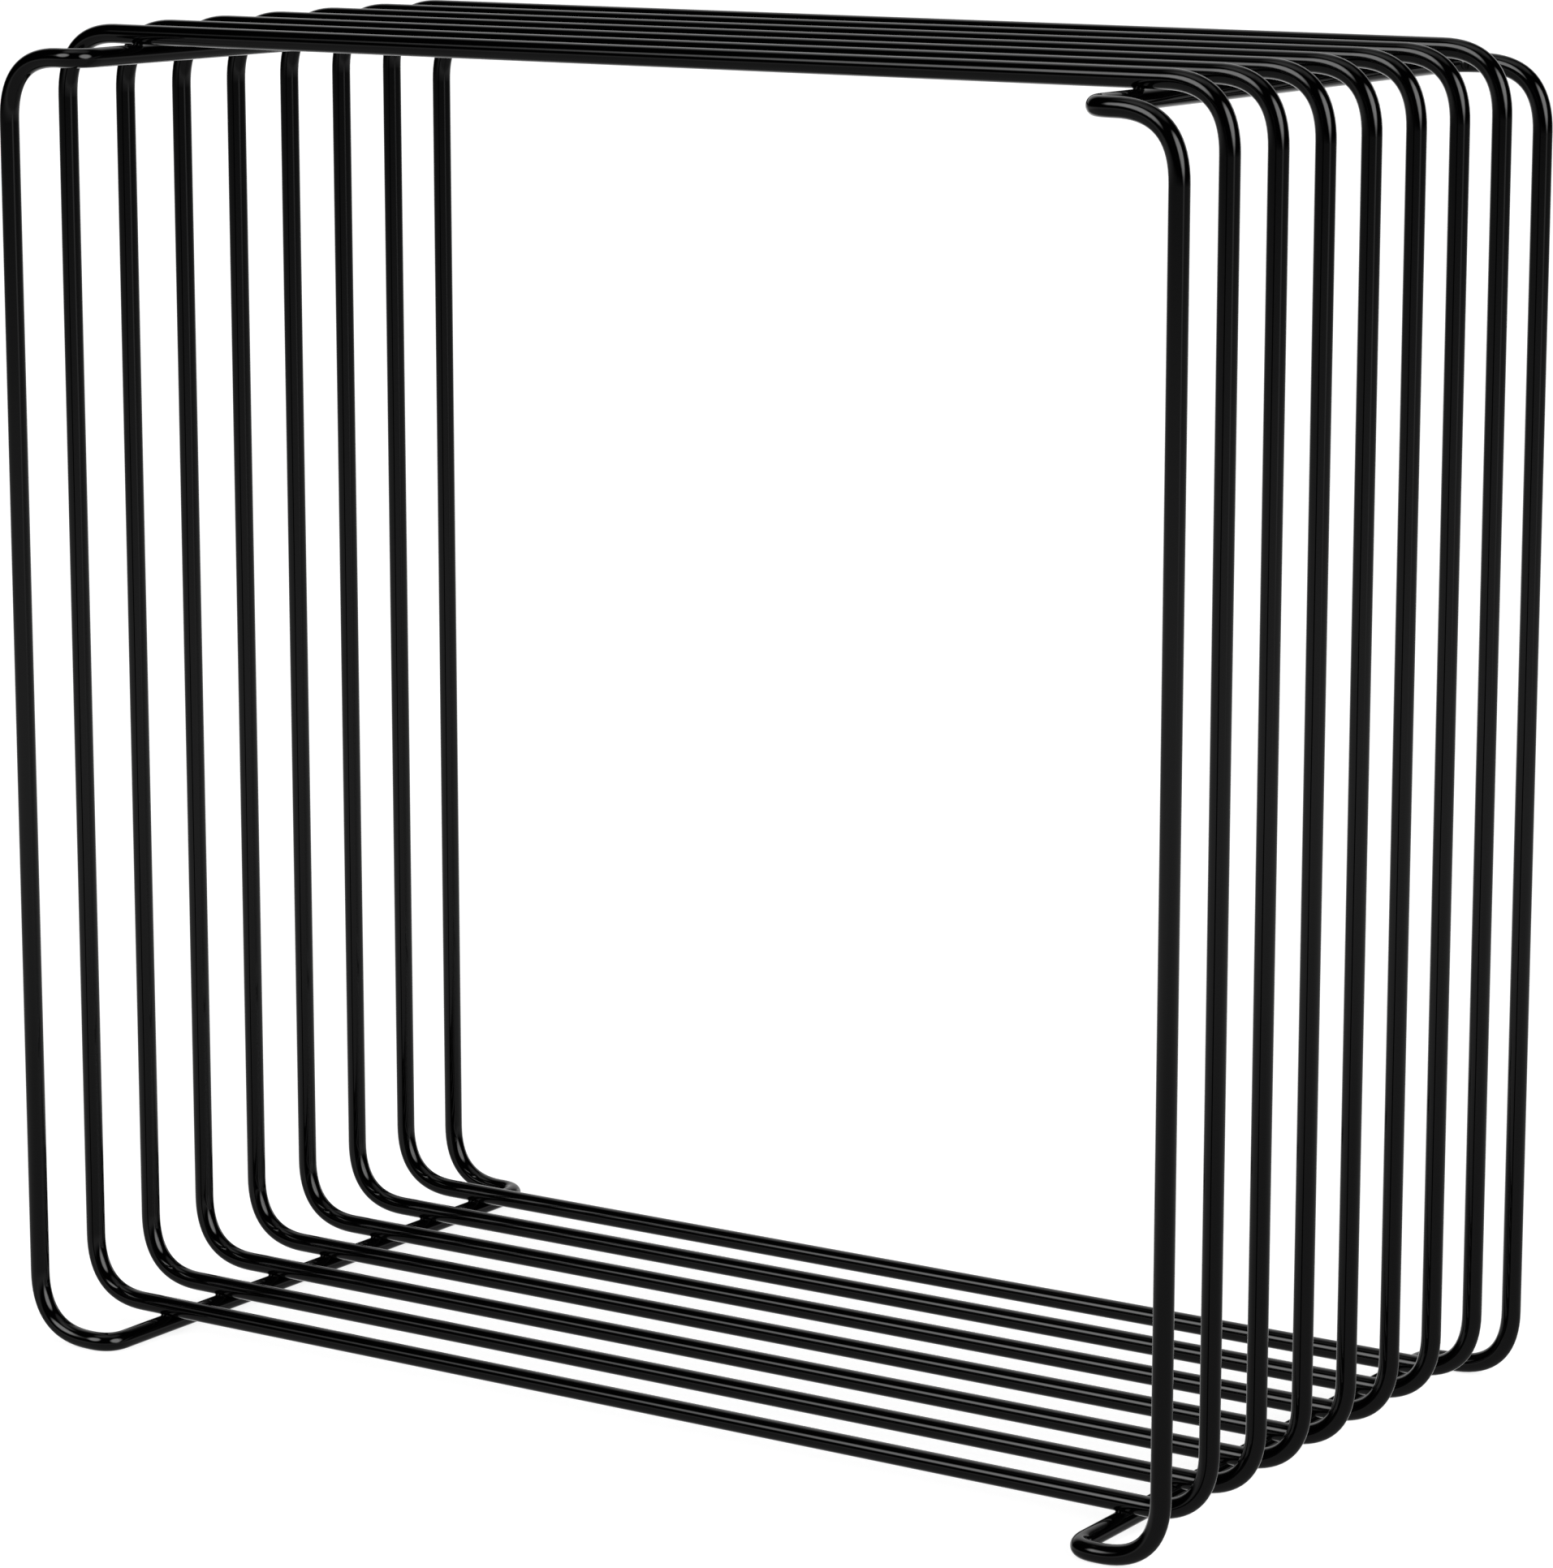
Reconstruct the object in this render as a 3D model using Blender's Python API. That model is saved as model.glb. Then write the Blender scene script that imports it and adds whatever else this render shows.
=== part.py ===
"""Open wire rack for magazines: seven square ring wires welded onto two bent side loops.

Metres, +Z up. The front faces -Y, and the origin is on the floor below the middle.
"""
import math

import bmesh
import bpy
from mathutils import Matrix, Vector

# Driving dimensions, outside to outside
WIDTH = 0.348
DEPTH = 0.188
HEIGHT = 0.348
WIRE_DIAMETER = 0.005
RING_COUNT = 7
CORNER_REACH = 0.0165  # a corner's bend takes this much of each straight beside it
ROD_BEND_REACH = 0.0064  # the same for the tight bends at the ends of the depth rods
ROD_INSET = 0.0239  # from an upright's axis to the axis of the depth rod beside it
WELD_DIAMETER = 0.0046
WELD_GAP = 0.0003  # between a weld's collar and the wires that it joins

# How finely the round shapes are divided
WIRE_SIDES = 12
BEND_STEPS = 6
WELD_SIDES = 12

# Places of the wires' axes
WIRE_RADIUS = WIRE_DIAMETER / 2
UPRIGHT_X = WIDTH / 2 - WIRE_RADIUS
UPRIGHT_Y = DEPTH / 2 - WIRE_RADIUS
ROD_X = UPRIGHT_X - ROD_INSET
RING_PITCH = 2 * UPRIGHT_Y / (RING_COUNT + 1)
RING_TOP = HEIGHT - WIRE_RADIUS
RING_BOTTOM = WIRE_DIAMETER + WIRE_RADIUS
ROD_TOP = RING_TOP - WIRE_DIAMETER
ROD_BOTTOM = WIRE_RADIUS


def clear_scene():
    for old in list(bpy.data.objects):
        bpy.data.objects.remove(old, do_unlink=True)


def new_collection(name):
    collection = bpy.data.collections.new(name)
    bpy.context.scene.collection.children.link(collection)
    return collection


def paint(name):
    """Semi-gloss black paint, baked on over bare steel wire."""
    material = bpy.data.materials.new(name)
    material.use_nodes = True
    shader = material.node_tree.nodes["Principled BSDF"]
    shader.inputs["Base Color"].default_value = (0.012, 0.012, 0.013, 1)
    shader.inputs["Roughness"].default_value = 0.28
    shader.inputs["Metallic"].default_value = 0.0
    return material


def bend(before, corner, after, reach):
    """Points round one corner, along the parabola that the wire takes when it is bent."""
    start = corner + (before - corner).normalized() * reach
    end = corner + (after - corner).normalized() * reach
    points = []
    for step in range(BEND_STEPS + 1):
        t = step / BEND_STEPS
        points.append(start.lerp(corner, t).lerp(corner.lerp(end, t), t))
    return points


def closed_wire(name, corners, collection):
    """A round wire bent into a closed path; each corner is a point and its bend's reach."""
    points = []
    for i, (corner, reach) in enumerate(corners):
        after = corners[(i + 1) % len(corners)][0]
        points += bend(corners[i - 1][0], corner, after, reach)
    curve = bpy.data.curves.new(name, "CURVE")
    curve.dimensions = "3D"
    curve.bevel_depth = WIRE_RADIUS
    curve.bevel_resolution = (WIRE_SIDES - 4) // 2
    spline = curve.splines.new("POLY")
    spline.points.add(len(points) - 1)
    spline.use_cyclic_u = True
    for spline_point, place in zip(spline.points, points):
        spline_point.co = (*place, 1)
        # Half a side of turn puts flats at the wire's top, bottom and sides.
        spline_point.tilt = math.pi / WIRE_SIDES
    curve.materials.append(paint(f"{name}_paint"))
    wire = bpy.data.objects.new(name, curve)
    collection.objects.link(wire)


def ring_wire(name, y, collection):
    """A square ring, standing upright across the rack's width."""
    corners = [
        (Vector((-UPRIGHT_X, y, RING_BOTTOM)), CORNER_REACH),
        (Vector((-UPRIGHT_X, y, RING_TOP)), CORNER_REACH),
        (Vector((UPRIGHT_X, y, RING_TOP)), CORNER_REACH),
        (Vector((UPRIGHT_X, y, RING_BOTTOM)), CORNER_REACH),
    ]
    closed_wire(name, corners, collection)


def side_loop(name, side, collection):
    """Front and back uprights of one side, joined by a foot rod and a rod under the top."""
    upright_x = side * UPRIGHT_X
    rod_x = side * ROD_X
    corners = [
        (Vector((upright_x, -UPRIGHT_Y, ROD_BOTTOM)), CORNER_REACH),
        (Vector((upright_x, -UPRIGHT_Y, ROD_TOP)), CORNER_REACH),
        (Vector((rod_x, -UPRIGHT_Y, ROD_TOP)), ROD_BEND_REACH),
        (Vector((rod_x, UPRIGHT_Y, ROD_TOP)), ROD_BEND_REACH),
        (Vector((upright_x, UPRIGHT_Y, ROD_TOP)), CORNER_REACH),
        (Vector((upright_x, UPRIGHT_Y, ROD_BOTTOM)), CORNER_REACH),
        (Vector((rod_x, UPRIGHT_Y, ROD_BOTTOM)), ROD_BEND_REACH),
        (Vector((rod_x, -UPRIGHT_Y, ROD_BOTTOM)), ROD_BEND_REACH),
    ]
    closed_wire(name, corners, collection)


def cylinder(name, radius, length, sides, turn, collection):
    """A prism along Z, first turned half a side so that flats face X and Y, then by turn."""
    mesh = bpy.data.meshes.new(name)
    shape = bmesh.new()
    bmesh.ops.create_cone(
        shape,
        cap_ends=True,
        segments=sides,
        radius1=radius,
        radius2=radius,
        depth=length,
        matrix=turn @ Matrix.Rotation(math.pi / sides, 4, "Z"),
    )
    shape.to_mesh(mesh)
    shape.free()
    prism = bpy.data.objects.new(name, mesh)
    collection.objects.link(prism)
    return prism


def weld_mesh(cutters):
    """The collar of metal that flows round the contact of two crossed wires.

    It is a thin disc at the contact, hollowed from above by the ring and from below by the rod.
    """
    disc = cylinder("weld", WELD_DIAMETER / 2, WIRE_DIAMETER, WELD_SIDES, Matrix(), cutters)
    cutter_radius = WIRE_RADIUS + WELD_GAP / math.cos(math.pi / WIRE_SIDES)
    cutter_length = 4 * WELD_DIAMETER
    for name, height, turn in (
        ("ring_cutter", WIRE_RADIUS, Matrix.Rotation(math.pi / 2, 4, "Y")),
        ("rod_cutter", -WIRE_RADIUS, Matrix.Rotation(math.pi / 2, 4, "X")),
    ):
        cutter = cylinder(name, cutter_radius, cutter_length, WIRE_SIDES, turn, cutters)
        cutter.location.z = height
        cutter.hide_render = True
        cutter.display_type = "WIRE"
        cut = disc.modifiers.new(name, "BOOLEAN")
        cut.operation = "DIFFERENCE"
        cut.object = cutter
    depsgraph = bpy.context.evaluated_depsgraph_get()
    mesh = bpy.data.meshes.new_from_object(disc.evaluated_get(depsgraph))
    bpy.data.objects.remove(disc, do_unlink=True)
    mesh.materials.append(paint("weld_paint"))
    return mesh


def build():
    clear_scene()
    rack = new_collection("wire_magazine_rack")
    cutters = new_collection("weld_cutters")
    collar = weld_mesh(cutters)
    for side_name, side in (("left", -1), ("right", 1)):
        side_loop(f"side_loop_{side_name}", side, rack)
    for i in range(RING_COUNT):
        y = (i + 1) * RING_PITCH - UPRIGHT_Y
        ring_wire(f"ring_wire_{i + 1}", y, rack)
        for level, ring_z in (("top", RING_TOP), ("bottom", RING_BOTTOM)):
            for side_name, side in (("left", -1), ("right", 1)):
                weld = bpy.data.objects.new(f"weld_{level}_{side_name}_{i + 1}", collar)
                weld.location = (side * ROD_X, y, ring_z - WIRE_RADIUS)
                rack.objects.link(weld)


build()
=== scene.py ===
import math
import bmesh
import bpy
from mathutils import Matrix, Vector


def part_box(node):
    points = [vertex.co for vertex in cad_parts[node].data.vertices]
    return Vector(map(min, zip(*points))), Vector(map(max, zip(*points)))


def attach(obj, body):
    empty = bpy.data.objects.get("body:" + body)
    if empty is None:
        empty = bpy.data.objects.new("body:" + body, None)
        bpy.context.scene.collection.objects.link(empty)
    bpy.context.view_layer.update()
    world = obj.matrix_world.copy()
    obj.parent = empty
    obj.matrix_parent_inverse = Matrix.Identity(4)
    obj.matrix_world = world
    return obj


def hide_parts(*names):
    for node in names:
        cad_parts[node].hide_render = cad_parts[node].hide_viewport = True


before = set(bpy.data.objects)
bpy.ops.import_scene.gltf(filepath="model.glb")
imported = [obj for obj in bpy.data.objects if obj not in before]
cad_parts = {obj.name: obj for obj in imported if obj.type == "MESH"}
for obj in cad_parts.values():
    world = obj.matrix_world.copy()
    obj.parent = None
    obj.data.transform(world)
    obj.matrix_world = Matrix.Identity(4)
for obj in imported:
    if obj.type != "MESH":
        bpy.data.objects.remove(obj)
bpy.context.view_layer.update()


# Side loops
# Each side of the rack is one length of 5 mm steel wire, bent round formers into a closed loop and
# butt-welded. Its uprights stand at the rack's corners, and its rods run from front to back under
# the rings, so that the bottom ones are the feet. The rack is painted gloss black and baked.
wire_radius = 0.0025
solid_sides = 12
solid_reach = wire_radius * math.cos(math.pi / solid_sides)  # the solids' flats are this far out
loop_low, loop_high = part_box("side_loop_right")
upright_x = loop_high.x - solid_reach
upright_y = loop_high.y - solid_reach
rod_x = loop_low.x + solid_reach
rod_bottom = loop_low.z + solid_reach
rod_top = loop_high.z - solid_reach
corner_reach = 0.0165  # a corner's bend takes this much of each straight beside it
rod_bend_reach = 0.0064  # the same for the tight bends at the ends of the rods
run_in = 0.0004  # each bend has one more section this far out on the straights beside it
wire_sides = 64
bend_steps = 18


def round_corner(before, corner, after, reach):
    """Places and headings of a wire that takes one corner along a parabola."""
    way_in = (corner - before).normalized()
    way_out = (after - corner).normalized()
    start = corner - way_in * reach
    end = corner + way_out * reach
    stations = [(start - way_in * run_in, way_in)]
    for step in range(bend_steps + 1):
        t = step / bend_steps
        place = start.lerp(corner, t).lerp(corner.lerp(end, t), t)
        stations.append((place, way_in.lerp(way_out, t).normalized()))
    stations.append((end + way_out * run_in, way_out))
    return stations


def finished(shape, name, material):
    """The shape as a smooth, painted piece of the scene."""
    bmesh.ops.recalc_face_normals(shape, faces=shape.faces[:])
    mesh = bpy.data.meshes.new(name)
    shape.to_mesh(mesh)
    shape.free()
    mesh.shade_smooth()
    mesh.materials.append(material)
    piece = bpy.data.objects.new(name, mesh)
    bpy.context.scene.collection.objects.link(piece)
    return piece


def bent_wire(name, corners, material):
    """A round wire pushed along a closed path; each corner is a point and its bend's reach."""
    stations = []
    for i, (corner, reach) in enumerate(corners):
        after = corners[(i + 1) % len(corners)][0]
        stations += round_corner(corners[i - 1][0], corner, after, reach)
    shape = bmesh.new()
    bmesh.ops.create_circle(shape, segments=wire_sides, radius=wire_radius)
    place, heading = stations[0]
    aim = Vector((0, 0, 1)).rotation_difference(heading).to_matrix().to_4x4()
    bmesh.ops.transform(shape, matrix=Matrix.Translation(place) @ aim, verts=shape.verts[:])
    first_rim = shape.edges[:]
    rim = first_rim
    for next_place, next_heading in stations[1:]:
        pushed = bmesh.ops.extrude_edge_only(shape, edges=rim)["geom"]
        section = {item for item in pushed if isinstance(item, bmesh.types.BMVert)}
        edges = [item for item in pushed if isinstance(item, bmesh.types.BMEdge)]
        rim = [edge for edge in edges if section.issuperset(edge.verts)]
        turn = heading.rotation_difference(next_heading).to_matrix().to_4x4()
        move = Matrix.Translation(next_place) @ turn @ Matrix.Translation(-place)
        bmesh.ops.transform(shape, matrix=move, verts=list(section))
        place, heading = next_place, next_heading
    bmesh.ops.bridge_loops(shape, edges=first_rim + rim)
    return finished(shape, name, material)


def baked_paint_group():
    """The skin of gloss paint: uneven in colour and gloss, with a very shallow orange peel."""
    group = bpy.data.node_groups.new("baked_paint", "ShaderNodeTree")
    for name, kind in (
        ("Thin Colour", "NodeSocketColor"),
        ("Thick Colour", "NodeSocketColor"),
        ("Gloss", "NodeSocketFloat"),
        ("Gloss Spread", "NodeSocketFloat"),
        ("Peel Depth", "NodeSocketFloat"),
    ):
        group.interface.new_socket(name, in_out="INPUT", socket_type=kind)
    for name, kind in (
        ("Colour", "NodeSocketColor"),
        ("Roughness", "NodeSocketFloat"),
        ("Normal", "NodeSocketVector"),
    ):
        group.interface.new_socket(name, in_out="OUTPUT", socket_type=kind)
    nodes = group.nodes
    link = group.links.new
    given = nodes.new("NodeGroupInput")
    result = nodes.new("NodeGroupOutput")
    place = nodes.new("ShaderNodeTexCoord")

    def unevenness(scale, detail):
        """Noise that stays with the piece, in features of about 1 / scale metres."""
        noise = nodes.new("ShaderNodeTexNoise")
        noise.inputs["Scale"].default_value = scale
        noise.inputs["Detail"].default_value = detail
        link(place.outputs["Object"], noise.inputs["Vector"])
        return noise.outputs["Fac"]

    flow = unevenness(scale=55, detail=3)
    colour = nodes.new("ShaderNodeMix")
    colour.data_type = "RGBA"
    link(flow, colour.inputs["Factor"])
    link(given.outputs["Thin Colour"], colour.inputs["A"])
    link(given.outputs["Thick Colour"], colour.inputs["B"])
    link(colour.outputs["Result"], result.inputs["Colour"])

    haze = unevenness(scale=210, detail=4)
    noise_middle = 0.5
    centred = nodes.new("ShaderNodeMath")
    centred.operation = "SUBTRACT"
    centred.inputs[1].default_value = noise_middle
    link(haze, centred.inputs[0])
    roughness = nodes.new("ShaderNodeMath")
    roughness.operation = "MULTIPLY_ADD"
    link(centred.outputs["Value"], roughness.inputs[0])
    link(given.outputs["Gloss Spread"], roughness.inputs[1])
    link(given.outputs["Gloss"], roughness.inputs[2])
    link(roughness.outputs["Value"], result.inputs["Roughness"])

    peel = unevenness(scale=900, detail=2)
    bump = nodes.new("ShaderNodeBump")
    bump.inputs["Strength"].default_value = 1
    link(given.outputs["Peel Depth"], bump.inputs["Distance"])
    link(peel, bump.inputs["Height"])
    link(bump.outputs["Normal"], result.inputs["Normal"])
    return group


baked_paint = baked_paint_group()


def painted(name, thin, thick, gloss, gloss_spread, peel_depth):
    """A material of gloss black paint, with its own values of the baked paint."""
    material = bpy.data.materials.new(name)
    material.use_nodes = True
    tree = material.node_tree
    shader = tree.nodes["Principled BSDF"]
    paint = tree.nodes.new("ShaderNodeGroup")
    paint.node_tree = baked_paint
    paint.inputs["Thin Colour"].default_value = (*thin, 1)
    paint.inputs["Thick Colour"].default_value = (*thick, 1)
    paint.inputs["Gloss"].default_value = gloss
    paint.inputs["Gloss Spread"].default_value = gloss_spread
    paint.inputs["Peel Depth"].default_value = peel_depth
    tree.links.new(paint.outputs["Colour"], shader.inputs["Base Color"])
    tree.links.new(paint.outputs["Roughness"], shader.inputs["Roughness"])
    tree.links.new(paint.outputs["Normal"], shader.inputs["Normal"])
    return material


wire_finish = {
    "thin": (0.0011, 0.0011, 0.0012),
    "thick": (0.0004, 0.0004, 0.0005),
    "gloss": 0.055,
    "gloss_spread": 0.03,
    "peel_depth": 0.0000016,
}
loop_paint = painted("loop_paint", **wire_finish)

for side_name, side in (("left", -1), ("right", 1)):
    loop_path = [
        (Vector((side * upright_x, -upright_y, rod_bottom)), corner_reach),
        (Vector((side * upright_x, -upright_y, rod_top)), corner_reach),
        (Vector((side * rod_x, -upright_y, rod_top)), rod_bend_reach),
        (Vector((side * rod_x, upright_y, rod_top)), rod_bend_reach),
        (Vector((side * upright_x, upright_y, rod_top)), corner_reach),
        (Vector((side * upright_x, upright_y, rod_bottom)), corner_reach),
        (Vector((side * rod_x, upright_y, rod_bottom)), rod_bend_reach),
        (Vector((side * rod_x, -upright_y, rod_bottom)), rod_bend_reach),
    ]
    loop = bent_wire(f"painted_loop_{side_name}", loop_path, loop_paint)
    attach(loop, "root")
    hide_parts(f"side_loop_{side_name}")


# Ring wires
# Seven square rings of the same 5 mm wire, each bent at four corners and butt-welded. They stand
# one behind the other on the side loops' bottom rods, and their top wires lie on the top rods.
ring_count = 7
ring_paint = painted("ring_paint", **wire_finish)
for i in range(1, ring_count + 1):
    ring_low, ring_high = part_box(f"ring_wire_{i}")
    ring_y = (ring_low.y + ring_high.y) / 2
    ring_bottom = ring_low.z + solid_reach
    ring_top = ring_high.z - solid_reach
    ring_path = [
        (Vector((-upright_x, ring_y, ring_bottom)), corner_reach),
        (Vector((-upright_x, ring_y, ring_top)), corner_reach),
        (Vector((upright_x, ring_y, ring_top)), corner_reach),
        (Vector((upright_x, ring_y, ring_bottom)), corner_reach),
    ]
    ring = bent_wire(f"painted_ring_{i}", ring_path, ring_paint)
    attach(ring, "root")
    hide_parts(f"ring_wire_{i}")


# Welds
# Where a ring crosses a rod, the two wires are pressed together and fused by a current. A small
# fillet of metal is squeezed out round the contact, and the paint runs into it.
weld_radius = 0.0017  # at the fillet's edges
weld_waist = 0.0013  # at the middle of its hollow rim
weld_overlap = 1.25  # the fillet's edges run this far past the wires' surfaces, which are at 1
weld_steps = 48
hollow_steps = 10
merge_distance = 0.000001
weld_paint = painted(
    "weld_paint",
    thin=(0.0012, 0.0012, 0.0013),
    thick=(0.0005, 0.0005, 0.0006),
    gloss=0.08,
    gloss_spread=0.05,
    peel_depth=0.0000012,
)


def wire_sag(offset):
    """How far a wire's surface falls away from the contact at a distance from its axis."""
    return wire_radius - math.sqrt(wire_radius ** 2 - offset ** 2)


def weld_fillet(name, contact):
    """A turned collar with a hollow rim, bent to lie between the ring above and the rod below."""
    shape = bmesh.new()
    outline = [shape.verts.new((0, 0, weld_overlap))]
    for step in range(hollow_steps + 1):
        rise = 1 - 2 * step / hollow_steps
        reach = weld_waist + (weld_radius - weld_waist) * rise ** 2
        outline.append(shape.verts.new((reach, 0, rise * weld_overlap)))
    outline.append(shape.verts.new((0, 0, -weld_overlap)))
    edges = [shape.edges.new(pair) for pair in zip(outline, outline[1:])]
    bmesh.ops.spin(
        shape,
        geom=outline + edges,
        cent=(0, 0, 0),
        axis=(0, 0, 1),
        angle=2 * math.pi,
        steps=weld_steps,
        use_merge=True,
    )
    bmesh.ops.remove_doubles(shape, verts=shape.verts[:], dist=merge_distance)
    for vert in shape.verts:
        above = wire_sag(vert.co.y)
        below = -wire_sag(vert.co.x)
        vert.co.z = (above + below) / 2 + vert.co.z * (above - below) / 2
    bmesh.ops.translate(shape, vec=contact, verts=shape.verts[:])
    return finished(shape, name, weld_paint)


for level in ("top", "bottom"):
    for side_name in ("left", "right"):
        for i in range(1, ring_count + 1):
            collar = f"weld_{level}_{side_name}_{i}"
            collar_low, collar_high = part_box(collar)
            fillet = weld_fillet(f"painted_{collar}", (collar_low + collar_high) / 2)
            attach(fillet, "root")
            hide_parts(collar)


# Floor
# A plain white studio floor. It takes the rack's soft contact shadows, and its own light keeps it
# as pale as the white behind; the paint mirrors the room, not the floor.
floor_radius = 9.0
floor_sides = 96
floor_grey = (0.5, 0.5, 0.5, 1)
floor_glow = 0.85
white = (1, 1, 1, 1)
floor_material = bpy.data.materials.new("studio_floor")
floor_material.use_nodes = True
floor_shader = floor_material.node_tree.nodes["Principled BSDF"]
floor_shader.inputs["Base Color"].default_value = floor_grey
floor_shader.inputs["Roughness"].default_value = 0.9
floor_shader.inputs["Specular IOR Level"].default_value = 0.0
floor_shader.inputs["Emission Color"].default_value = white
floor_shader.inputs["Emission Strength"].default_value = floor_glow
floor_shape = bmesh.new()
bmesh.ops.create_circle(floor_shape, cap_ends=True, segments=floor_sides, radius=floor_radius)
floor_mesh = bpy.data.meshes.new("studio_floor")
floor_shape.to_mesh(floor_mesh)
floor_shape.free()
floor_mesh.materials.append(floor_material)
floor = bpy.data.objects.new("studio_floor", floor_mesh)
bpy.context.scene.collection.objects.link(floor)
floor.visible_glossy = False
floor.visible_diffuse = False


# Studio light
# A dark room with a round softbox at the front left and a larger one at the right, a pale wall
# behind the rack, a bar of light overhead, and a grey ground that is dimmer round the rack. Their
# mirror images make the strips of light along the wires.
room = bpy.data.worlds.new("studio_room")
bpy.context.scene.world = room
room.use_nodes = True
room_nodes = room.node_tree.nodes
room_link = room.node_tree.links.new
room_light = room_nodes["Background"]
sight = room_nodes.new("ShaderNodeTexCoord")


def patch(azimuth, elevation, full, faded, inside, outside=0):
    """A round patch of the room: one value within an angle of its middle, another beyond it.

    Angles are in degrees. Azimuth 0 is in front of the rack, and 90 is to its right.
    """
    across = math.cos(math.radians(elevation))
    dot = room_nodes.new("ShaderNodeVectorMath")
    dot.operation = "DOT_PRODUCT"
    dot.inputs[1].default_value = (
        math.sin(math.radians(azimuth)) * across,
        -math.cos(math.radians(azimuth)) * across,
        math.sin(math.radians(elevation)),
    )
    room_link(sight.outputs["Generated"], dot.inputs[0])
    fade = room_nodes.new("ShaderNodeMapRange")
    fade.interpolation_type = "SMOOTHSTEP"
    fade.inputs["From Min"].default_value = math.cos(math.radians(faded))
    fade.inputs["From Max"].default_value = math.cos(math.radians(full))
    fade.inputs["To Min"].default_value = outside
    fade.inputs["To Max"].default_value = inside
    room_link(dot.outputs["Value"], fade.inputs["Value"])
    return fade.outputs["Result"]


def joined(operation, first, second):
    """Two values of the room, added or multiplied."""
    result = room_nodes.new("ShaderNodeMath")
    result.operation = operation
    room_link(first, result.inputs[0])
    room_link(second, result.inputs[1])
    return result.outputs["Value"]


ground = patch(azimuth=0, elevation=-90, full=78, faded=90, inside=0.34)
rack_shade = patch(azimuth=45, elevation=-87, full=71, faded=77, inside=0.57, outside=1)
light = joined("MULTIPLY", ground, rack_shade)
left_softbox = patch(azimuth=-19.5, elevation=33, full=8.5, faded=22, inside=4.0)
left_panel = patch(azimuth=-36, elevation=27, full=0, faded=12, inside=0.5)
right_softbox = patch(azimuth=74.5, elevation=22.5, full=12.5, faded=27.5, inside=4.0)
right_skirt = patch(azimuth=77, elevation=0, full=0, faded=12, inside=0.5)
back_wall = patch(azimuth=-149, elevation=3, full=25, faded=52, inside=0.72)
back_floor = patch(azimuth=-138, elevation=-42, full=6, faded=26, inside=0.42)
back_lamp = patch(azimuth=174, elevation=9, full=3, faded=14, inside=0.7)
back_rail = patch(azimuth=-138, elevation=52, full=0, faded=18, inside=0.35)
ceiling = patch(azimuth=0, elevation=90, full=18, faded=32, inside=0.18)
left_ceiling = patch(azimuth=-50, elevation=76, full=6, faded=21, inside=0.38)
right_ceiling = patch(azimuth=110, elevation=76, full=6, faded=21, inside=0.2)
for lamp in (
    left_softbox,
    left_panel,
    right_softbox,
    right_skirt,
    back_wall,
    back_floor,
    back_lamp,
    back_rail,
    ceiling,
    left_ceiling,
    right_ceiling,
):
    light = joined("ADD", light, lamp)
room_link(light, room_light.inputs["Strength"])
room_light.inputs["Color"].default_value = white

# The camera sees plain white behind the rack, and the rack and the floor are lit by the room.
backdrop = room_nodes.new("ShaderNodeBackground")
backdrop.inputs["Color"].default_value = white
ray = room_nodes.new("ShaderNodeLightPath")
seen = room_nodes.new("ShaderNodeMixShader")
room_link(ray.outputs["Is Camera Ray"], seen.inputs["Fac"])
room_link(room_light.outputs["Background"], seen.inputs[1])
room_link(backdrop.outputs["Background"], seen.inputs[2])
room_link(seen.outputs["Shader"], room_nodes["World Output"].inputs["Surface"])
bpy.context.scene.view_settings.view_transform = "Standard"


# Camera
# The photograph's view: from the front right, a little above the rack's top.
lens_length = 126.67  # millimetres, like the sensor's width
sensor_width = 36
camera_place = (0.77697, -1.16307, 0.42978)
camera_azimuth = math.radians(33.635)
camera_elevation = math.radians(11.125)
camera_data = bpy.data.cameras.new("camera")
camera_data.lens = lens_length
camera_data.sensor_width = sensor_width
camera_data.dof.use_dof = False
camera = bpy.data.objects.new("camera", camera_data)
camera.location = camera_place
camera.rotation_euler = (math.pi / 2 - camera_elevation, 0, camera_azimuth)
bpy.context.scene.collection.objects.link(camera)
bpy.context.scene.camera = camera
